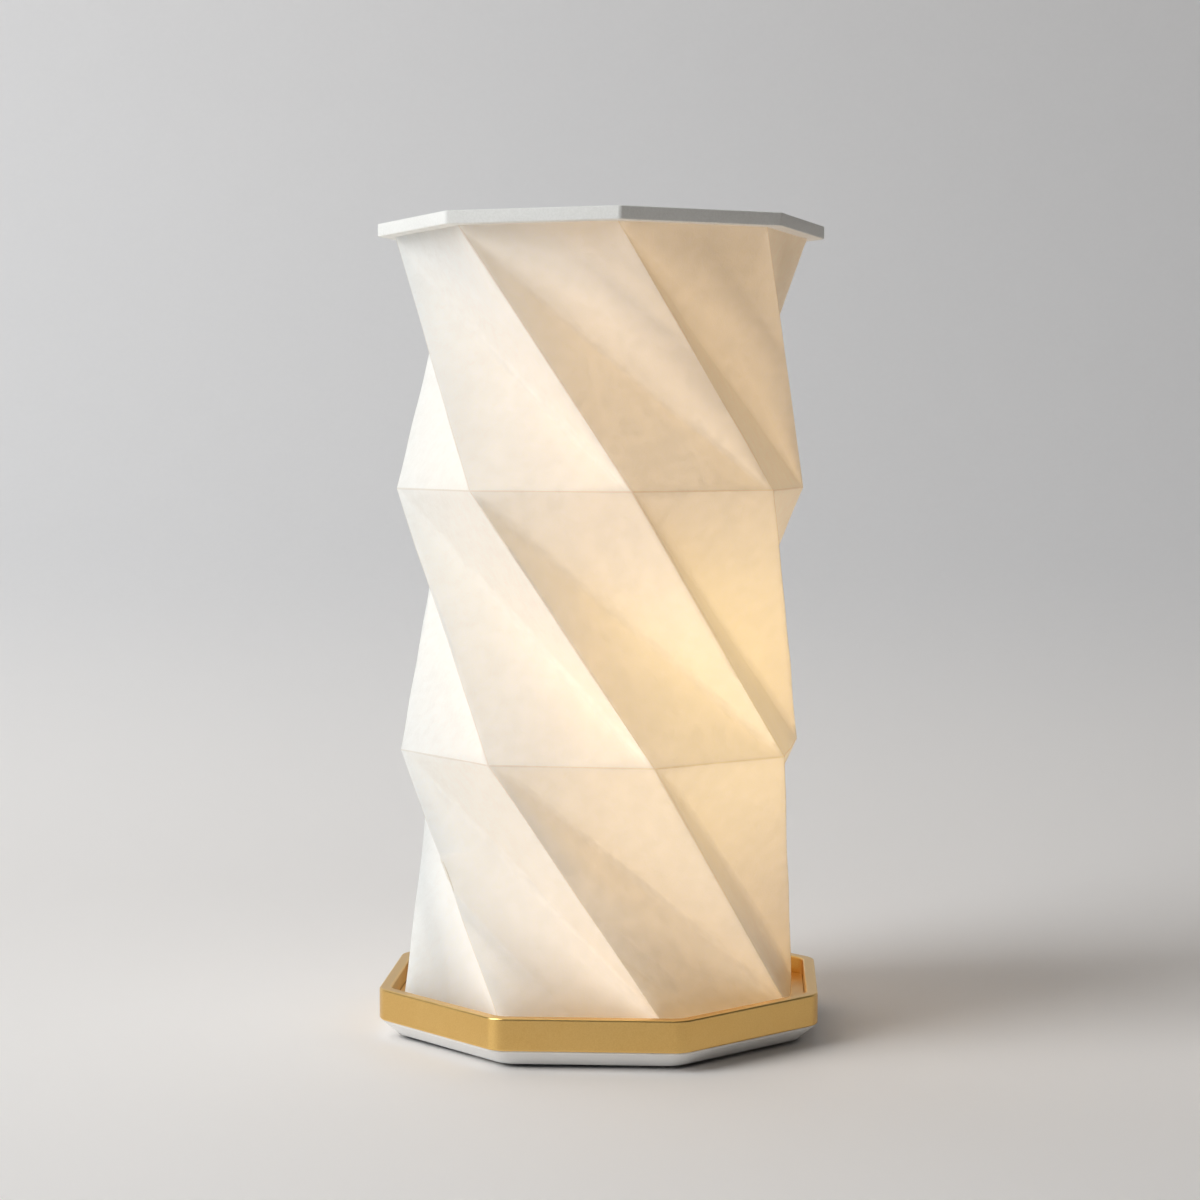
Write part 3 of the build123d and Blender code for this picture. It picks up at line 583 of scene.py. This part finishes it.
def finish_material(name, low, high, roughness, metallic=0.0, grain_size=1500.0, bump=0.02,
                    lines=0.0, edge_highlight=0.0, coat=0.0, specular=0.5):
    """Build a finish from its two colours, its roughness range and the size of its grain."""
    material = bpy.data.materials.new(name)
    material.use_nodes = True
    tree = material.node_tree
    shader = tree.nodes["Principled BSDF"]
    shader.inputs["Metallic"].default_value = metallic
    shader.inputs["Coat Weight"].default_value = coat
    shader.inputs["Specular IOR Level"].default_value = specular
    place = put(tree, "TexCoord").outputs["Object"]
    texture = use_group(tree, grain, {"Grain Size": grain_size})
    tree.links.new(place, texture.inputs["Place"])
    height = texture.outputs["Height"]
    blend = put(tree, "Math", {1: 0.6}, operation="MULTIPLY_ADD")
    tree.links.new(texture.outputs["Grain"], blend.inputs[0])
    part = put(tree, "Math", {1: 0.4}, operation="MULTIPLY")
    tree.links.new(texture.outputs["Patches"], part.inputs[0])
    tree.links.new(part.outputs["Value"], blend.inputs[2])
    mask = blend.outputs["Value"]
    if lines:
        brushed = use_group(tree, drawn, {"Line Size": lines})
        tree.links.new(place, brushed.inputs["Place"])
        mask, height = brushed.outputs["Lines"], brushed.outputs["Height"]
    colour = mix_colour(tree, low, high)
    tree.links.new(mask, colour.inputs["Factor"])
    shown = colour.outputs[2]
    # Faces of a rounded edge are painted lighter: a painted highlight along the edge.
    if edge_highlight:
        edge = put(tree, "Attribute", attribute_name="edge", attribute_type="GEOMETRY")
        lit_edge_colour = [min(1.0, c * (1 + edge_highlight)) for c in high]
        edge_highlighted = put(tree, "Mix", {7: (*lit_edge_colour, 1)}, data_type="RGBA")
        tree.links.new(edge.outputs["Fac"], edge_highlighted.inputs["Factor"])
        tree.links.new(shown, edge_highlighted.inputs[6])
        shown = edge_highlighted.outputs[2]
    tree.links.new(shown, shader.inputs["Base Color"])
    rough = put(tree, "MapRange", {"To Min": roughness[0], "To Max": roughness[1]})
    tree.links.new(mask, rough.inputs["Value"])
    tree.links.new(rough.outputs["Result"], shader.inputs["Roughness"])
    relief = put(tree, "Bump", {"Strength": 0.6, "Distance": bump * MM})
    tree.links.new(height, relief.inputs["Height"])
    tree.links.new(relief.outputs["Normal"], shader.inputs["Normal"])
    return material


# %% [markdown]
# The paper is the piece that everyone looks at, so its material is made in three steps: the tone
# of the sheet, the painted glow that leaves it, and the shader. Two shaders share the sheet,
# because part of the light comes back from paper and part of it goes through.

# %% Tone of the paper
CREASE_SHADE = (0.90, 0.87, 0.83)


def paper_tone(tree, fibre, crease, thin, thick):
    """Mix the tone of the sheet from its clouds and fibres, with painted shade along its creases.
    """
    colour = mix_colour(tree, thick, thin)
    tree.links.new(fibre.outputs["Clouds"], colour.inputs["Factor"])
    fleck_tone = put(tree, "MapRange", {"To Min": 0.97, "To Max": 1.0})
    tree.links.new(fibre.outputs["Fibres"], fleck_tone.inputs["Value"])
    flecks = put(tree, "Mix", {"Factor": 1.0}, data_type="RGBA", blend_type="MULTIPLY")
    tree.links.new(colour.outputs[2], flecks.inputs[6])
    tree.links.new(fleck_tone.outputs["Result"], flecks.inputs[7])
    # The crease faces are darker: painted shade along the folds.
    crease_shade_colour = [part * share for part, share in zip(thick, CREASE_SHADE)]
    crease_shaded = put(tree, "Mix", {7: (*crease_shade_colour, 1)}, data_type="RGBA")
    tree.links.new(crease.outputs["Fac"], crease_shaded.inputs["Factor"])
    tree.links.new(flecks.outputs[2], crease_shaded.inputs[6])
    return crease_shaded.outputs[2]


# %% Painted glow that leaves the paper
# Painted glow: a warm pool round a given place, and an even glow that turns pale at the left.
POOL_PLACE = (0.056, -0.033, 0.128)   # metres
POOL_REACH = (0.092, 0.02)            # the pool fades out and is full at these distances
PALE_SIDE = -0.072                    # where the tint of the even light is all pale


def painted_paper_glow(tree, place, fibre, crease):
    """Paint the glow inside the sheet, dimmer where the sheet is seen at a slant."""
    within = use_group(tree, painted_glow)
    at = put(tree, "SeparateXYZ")
    tree.links.new(place, at.inputs["Vector"])
    tree.links.new(at.outputs["Z"], within.inputs["Height"])
    side = put(tree, "MapRange", {"From Min": PALE_SIDE, "From Max": 0.0})
    tree.links.new(at.outputs["X"], side.inputs["Value"])
    tree.links.new(side.outputs["Result"], within.inputs["Side"])
    apart = put(tree, "VectorMath", {1: POOL_PLACE}, operation="DISTANCE")
    tree.links.new(place, apart.inputs[0])
    pool_mask = ramp(tree, *POOL_REACH)
    tree.links.new(apart.outputs["Value"], pool_mask.inputs["Value"])
    tree.links.new(pool_mask.outputs["Result"], within.inputs["Pool Mask"])
    tree.links.new(fibre.outputs["Clouds"], within.inputs["Clouds"])
    tree.links.new(crease.outputs["Fac"], within.inputs["Crease"])
    # Painted shade: the glow fades where the sheet is seen at a slant.
    slant = put(tree, "LayerWeight", {"Blend": 0.5})
    fade = put(tree, "MapRange", {"From Min": 0.35, "From Max": 0.95, "To Min": 1.0,
                                  "To Max": 0.45})
    tree.links.new(slant.outputs["Facing"], fade.inputs["Value"])
    return scaled(tree, within.outputs["Light"], fade.outputs["Result"])


# %% Shader of the paper
PASSED_TINT = (1.0, 0.97, 0.90)   # what a sheet of fibre does to light that goes through


def paper_material(name, thin, thick, through):
    """Build handmade paper with a painted glow: part of the light comes back, part goes through."""
    material = bpy.data.materials.new(name)
    material.use_nodes = True
    tree = material.node_tree
    shader = tree.nodes["Principled BSDF"]
    shader.inputs["Roughness"].default_value = 0.85
    shader.inputs["Specular IOR Level"].default_value = 0.2
    shader.inputs["Emission Strength"].default_value = 1.0
    place = put(tree, "TexCoord").outputs["Object"]
    fibre = use_group(tree, clouds, {"Cloud Size": 230.0, "Fibre Size": 800.0})
    tree.links.new(place, fibre.inputs["Place"])
    crease = put(tree, "Attribute", attribute_name="crease", attribute_type="GEOMETRY")
    tone = paper_tone(tree, fibre, crease, thin, thick)
    relief = put(tree, "Bump", {"Strength": 0.5, "Distance": 0.045 * MM})
    tree.links.new(fibre.outputs["Height"], relief.inputs["Height"])
    tree.links.new(tone, shader.inputs["Base Color"])
    tree.links.new(relief.outputs["Normal"], shader.inputs["Normal"])
    # The emission is a painted glow of the lamp inside.
    tree.links.new(painted_paper_glow(tree, place, fibre, crease), shader.inputs["Emission Color"])
    passed = put(tree, "Mix", {"Factor": 1.0, 7: (*PASSED_TINT, 1)}, data_type="RGBA",
                 blend_type="MULTIPLY")
    tree.links.new(tone, passed.inputs[6])
    glow = put(tree, "BsdfTranslucent")
    tree.links.new(passed.outputs[2], glow.inputs["Color"])
    tree.links.new(relief.outputs["Normal"], glow.inputs["Normal"])
    blend = put(tree, "MixShader", {"Fac": through})
    tree.links.new(shader.outputs["BSDF"], blend.inputs[1])
    tree.links.new(glow.outputs["BSDF"], blend.inputs[2])
    tree.links.new(blend.outputs["Shader"], tree.nodes["Material Output"].inputs["Surface"])
    return material


# %% The lit glass of the bulb
def lit_material(name, colour, light, strength):
    """Build opal glass that shines."""
    material = finish_material(name, colour, colour, (0.25, 0.35), grain_size=900, bump=0.004)
    shader = material.node_tree.nodes["Principled BSDF"]
    shader.inputs["Emission Color"].default_value = (*light, 1)
    shader.inputs["Emission Strength"].default_value = strength
    return material


# %% Mix the finishes, one for each material slot of the record
LAMP_LIGHT, LAMP_STRENGTH = (1.0, 0.87, 0.515), 1.2
finishes = {
    "paper": paper_material("paper", (0.935, 0.935, 0.93), (0.914, 0.910, 0.899), 0.35),
    "card": finish_material("card", (0.60, 0.56, 0.48), (0.68, 0.65, 0.58), (0.8, 0.9), bump=0.03),
    "board": finish_material("board", (0.87, 0.845, 0.79), (0.95, 0.925, 0.875), (0.55, 0.75),
                             grain_size=1300, bump=0.09),
    # The gold and the white base get a painted highlight on their rounded edges.
    "gold": finish_material("gold", (0.78, 0.485, 0.155), (0.86, 0.57, 0.205), (0.28, 0.36),
                            metallic=1.0, grain_size=2200, bump=0.004, edge_highlight=0.05),
    "white_base": finish_material("white_base", (0.91, 0.905, 0.885), (0.95, 0.945, 0.925),
                                  (0.32, 0.42), grain_size=1900, bump=0.01, edge_highlight=0.05),
    "cover": finish_material("cover", (0.02, 0.02, 0.02), (0.04, 0.04, 0.04), (0.55, 0.75),
                             grain_size=1100, bump=0.05),
    "steel": finish_material("steel", (0.42, 0.42, 0.43), (0.56, 0.56, 0.57), (0.28, 0.45),
                             metallic=1.0, lines=300, bump=0.01),
    "screws": finish_material("screws", (0.34, 0.34, 0.35), (0.48, 0.48, 0.49), (0.25, 0.4),
                              metallic=1.0, bump=0.006),
    "rubber": finish_material("rubber", (0.018, 0.018, 0.018), (0.035, 0.035, 0.035), (0.7, 0.9),
                              grain_size=1800, bump=0.03),
    "terminal": finish_material("terminal", (0.66, 0.66, 0.62), (0.74, 0.74, 0.70), (0.4, 0.5)),
    "brass": finish_material("brass", (0.62, 0.42, 0.16), (0.74, 0.54, 0.25), (0.22, 0.38),
                             metallic=1.0, lines=240, bump=0.006),
    "lead_brown": finish_material("lead_brown", (0.14, 0.05, 0.02), (0.2, 0.08, 0.03), (0.35, 0.5)),
    "lead_blue": finish_material("lead_blue", (0.03, 0.10, 0.38), (0.05, 0.15, 0.48), (0.35, 0.5)),
    "holder": finish_material("holder", (0.72, 0.71, 0.68), (0.79, 0.78, 0.75), (0.3, 0.42),
                              grain_size=1600, bump=0.015),
    "ceramic": finish_material("ceramic", (0.80, 0.79, 0.75), (0.87, 0.86, 0.82), (0.12, 0.2),
                               coat=0.5),
    "nickel": finish_material("nickel", (0.60, 0.58, 0.54), (0.70, 0.68, 0.64), (0.16, 0.3),
                              metallic=1.0, lines=400, bump=0.004),
    "solder": finish_material("solder", (0.50, 0.50, 0.51), (0.62, 0.62, 0.63), (0.3, 0.5),
                              metallic=1.0, grain_size=600, bump=0.03),
    "insulator": finish_material("insulator", (0.02, 0.02, 0.02), (0.035, 0.035, 0.035),
                                 (0.08, 0.16), coat=0.6),
    "bulb_plastic": finish_material("bulb_plastic", (0.78, 0.78, 0.76), (0.84, 0.84, 0.82),
                                    (0.25, 0.34), grain_size=1700, bump=0.01),
    "circuit": finish_material("circuit", (0.02, 0.16, 0.06), (0.03, 0.22, 0.09), (0.3, 0.45)),
    "led_board": finish_material("led_board", (0.74, 0.74, 0.72), (0.82, 0.82, 0.80), (0.4, 0.5)),
    "led": finish_material("led", (0.85, 0.66, 0.20), (0.92, 0.74, 0.28), (0.2, 0.3)),
    "opal": lit_material("opal", (0.90, 0.88, 0.82), LAMP_LIGHT, LAMP_STRENGTH),
}
print(len(finishes), "finishes")

# %% Give every piece its finish
slot_of = {row["node"]: row["material_slot"] for row in frame["record"]["subparts"]}
for node, thing in frame["nodes"].items():
    for place in thing.material_slots:
        place.material = finishes[slot_of[node]]
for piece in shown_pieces():
    if "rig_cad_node" not in piece:
        piece.data.materials.append(finishes[piece["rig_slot"]])

# %% [markdown]
# ## The studio
# The lamp stands on a pale sweep: a floor that curves up into a wall, so no corner line shows.
# The floor is painted a little lighter than the wall. Two soft lights stand at the left, one
# low and one high, two fainter ones hang above, and a dim world fills the shadows.

# %% The sweep
HALF_WIDTH, NEAR, BACK, WALL_TOP = 3.0, -3.0, 0.28, 2.6   # metres
BEND, BEND_STEPS = 0.55, 16
sweep = bmesh.new()
edge = [sweep.verts.new((-HALF_WIDTH, NEAR, 0)), sweep.verts.new((-HALF_WIDTH, BACK, 0))]
for step in range(1, BEND_STEPS + 1):
    a = radians(90 * step / BEND_STEPS)
    edge.append(sweep.verts.new((-HALF_WIDTH, BACK + BEND * sin(a), BEND * (1 - cos(a)))))
edge.append(sweep.verts.new((-HALF_WIDTH, BACK + BEND, WALL_TOP)))
line = [sweep.edges.new(pair) for pair in zip(edge, edge[1:])]
wide = points_of(bmesh.ops.extrude_edge_only(sweep, edges=line)["geom"])
bmesh.ops.translate(sweep, vec=(2 * HALF_WIDTH, 0, 0), verts=wide)
bmesh.ops.recalc_face_normals(sweep, faces=sweep.faces)
sweep_mesh = bpy.data.meshes.new("studio_sweep")
sweep.to_mesh(sweep_mesh)
sweep.free()
sweep_mesh.polygons.foreach_set("use_smooth", [True] * len(sweep_mesh.polygons))
studio = bpy.data.objects.new("studio_sweep", sweep_mesh)
bpy.context.scene.collection.objects.link(studio)
print("sweep of", len(sweep_mesh.polygons), "faces")

# %% Paint for the sweep
FLOOR_COLOUR = (0.95, 0.905, 0.865)
FLOOR_ENDS = 0.16   # the height in metres where the wall has lost the floor's paint
wall = finish_material("studio_wall", (0.80, 0.775, 0.76), (0.81, 0.785, 0.77), (0.6, 0.65),
                       grain_size=300, bump=0.0, specular=0.25)
wall_tree = wall.node_tree
paint = wall_tree.nodes["Principled BSDF"].inputs["Base Color"]
rise = put(wall_tree, "SeparateXYZ")
wall_tree.links.new(put(wall_tree, "TexCoord").outputs["Object"], rise.inputs["Vector"])
floor_share = ramp(wall_tree, FLOOR_ENDS, 0.0)
wall_tree.links.new(rise.outputs["Z"], floor_share.inputs["Value"])
lighter = put(wall_tree, "Mix", {7: (*FLOOR_COLOUR, 1)}, data_type="RGBA")
wall_tree.links.new(floor_share.outputs["Result"], lighter.inputs["Factor"])
wall_tree.links.new(paint.links[0].from_socket, lighter.inputs[6])
wall_tree.links.new(lighter.outputs[2], paint)
studio.data.materials.append(wall)
print("painted with", wall.name)

# %% Soft lights at the left and above
AIM = Vector((0, 0, 0.14))


def softbox(name, around, up, away, wide, tall, watts, colour):
    """Hang a rectangular light at an angle left of the camera, up from the table."""
    light = bpy.data.lights.new(name, "AREA")
    light.shape, light.size, light.size_y = "RECTANGLE", wide, tall
    light.energy, light.color = watts, colour
    lamp = bpy.data.objects.new(name, light)
    a, e = radians(around), radians(up)
    lamp.location = AIM + away * Vector((-sin(a) * cos(e), -cos(a) * cos(e), sin(e)))
    lamp.rotation_euler = (AIM - lamp.location).to_track_quat("-Z", "Y").to_euler()
    bpy.context.scene.collection.objects.link(lamp)
    print(f"{name}: {watts} W")


softbox("key", 62, 22, 2.3, 1.2, 2.0, 20.5, (0.84, 0.92, 1.0))
softbox("high key", 62, 45, 2.3, 1.2, 2.0, 26.0, (0.96, 0.985, 1.0))
softbox("overhead front", 10, 75, 2.0, 2.0, 2.0, 0.5, (1.0, 1.0, 1.0))
softbox("overhead back", 150, 70, 2.0, 2.0, 2.0, 7.0, (0.97, 0.99, 1.0))

# %% The dim world
world = bpy.data.worlds.new("studio")
bpy.context.scene.world = world
world.use_nodes = True
sky = world.node_tree.nodes["Background"]
sky.inputs["Color"].default_value = (1.0, 1.0, 1.0, 1)
sky.inputs["Strength"].default_value = 0.045
print("world at", round(sky.inputs["Strength"].default_value, 3))

# %% [markdown]
# ## The camera
# The picture was taken almost from the front, from a little above the middle of the lamp and
# tilted down. The lens and the place come from the lamp's own corners: how far each octagon of
# creases opens up in the picture tells how high the camera stood.

# %% Place the camera
AWAY, EYE, ASIDE = 966.8 * MM, 220.3 * MM, -0.9 * MM
TILT, AROUND = 0.0621, radians(3.41)
SENSOR, FRAME_PIXELS, LENS_PIXELS = 36.0, 1200, 2578.2
camera = bpy.data.cameras.new("camera")
camera.sensor_width = SENSOR
camera.lens = LENS_PIXELS / FRAME_PIXELS * SENSOR
camera_object = bpy.data.objects.new("camera", camera)
camera_object.location = Vector((AWAY * sin(AROUND) + ASIDE * cos(AROUND),
                                 -AWAY * cos(AROUND) + ASIDE * sin(AROUND), EYE))
camera_object.rotation_euler = (pi / 2 - TILT, 0, AROUND)
bpy.context.scene.collection.objects.link(camera_object)
bpy.context.scene.camera = camera_object
bpy.context.scene.view_settings.view_transform = "Standard"
print("lens of", round(camera.lens, 1), "mm")
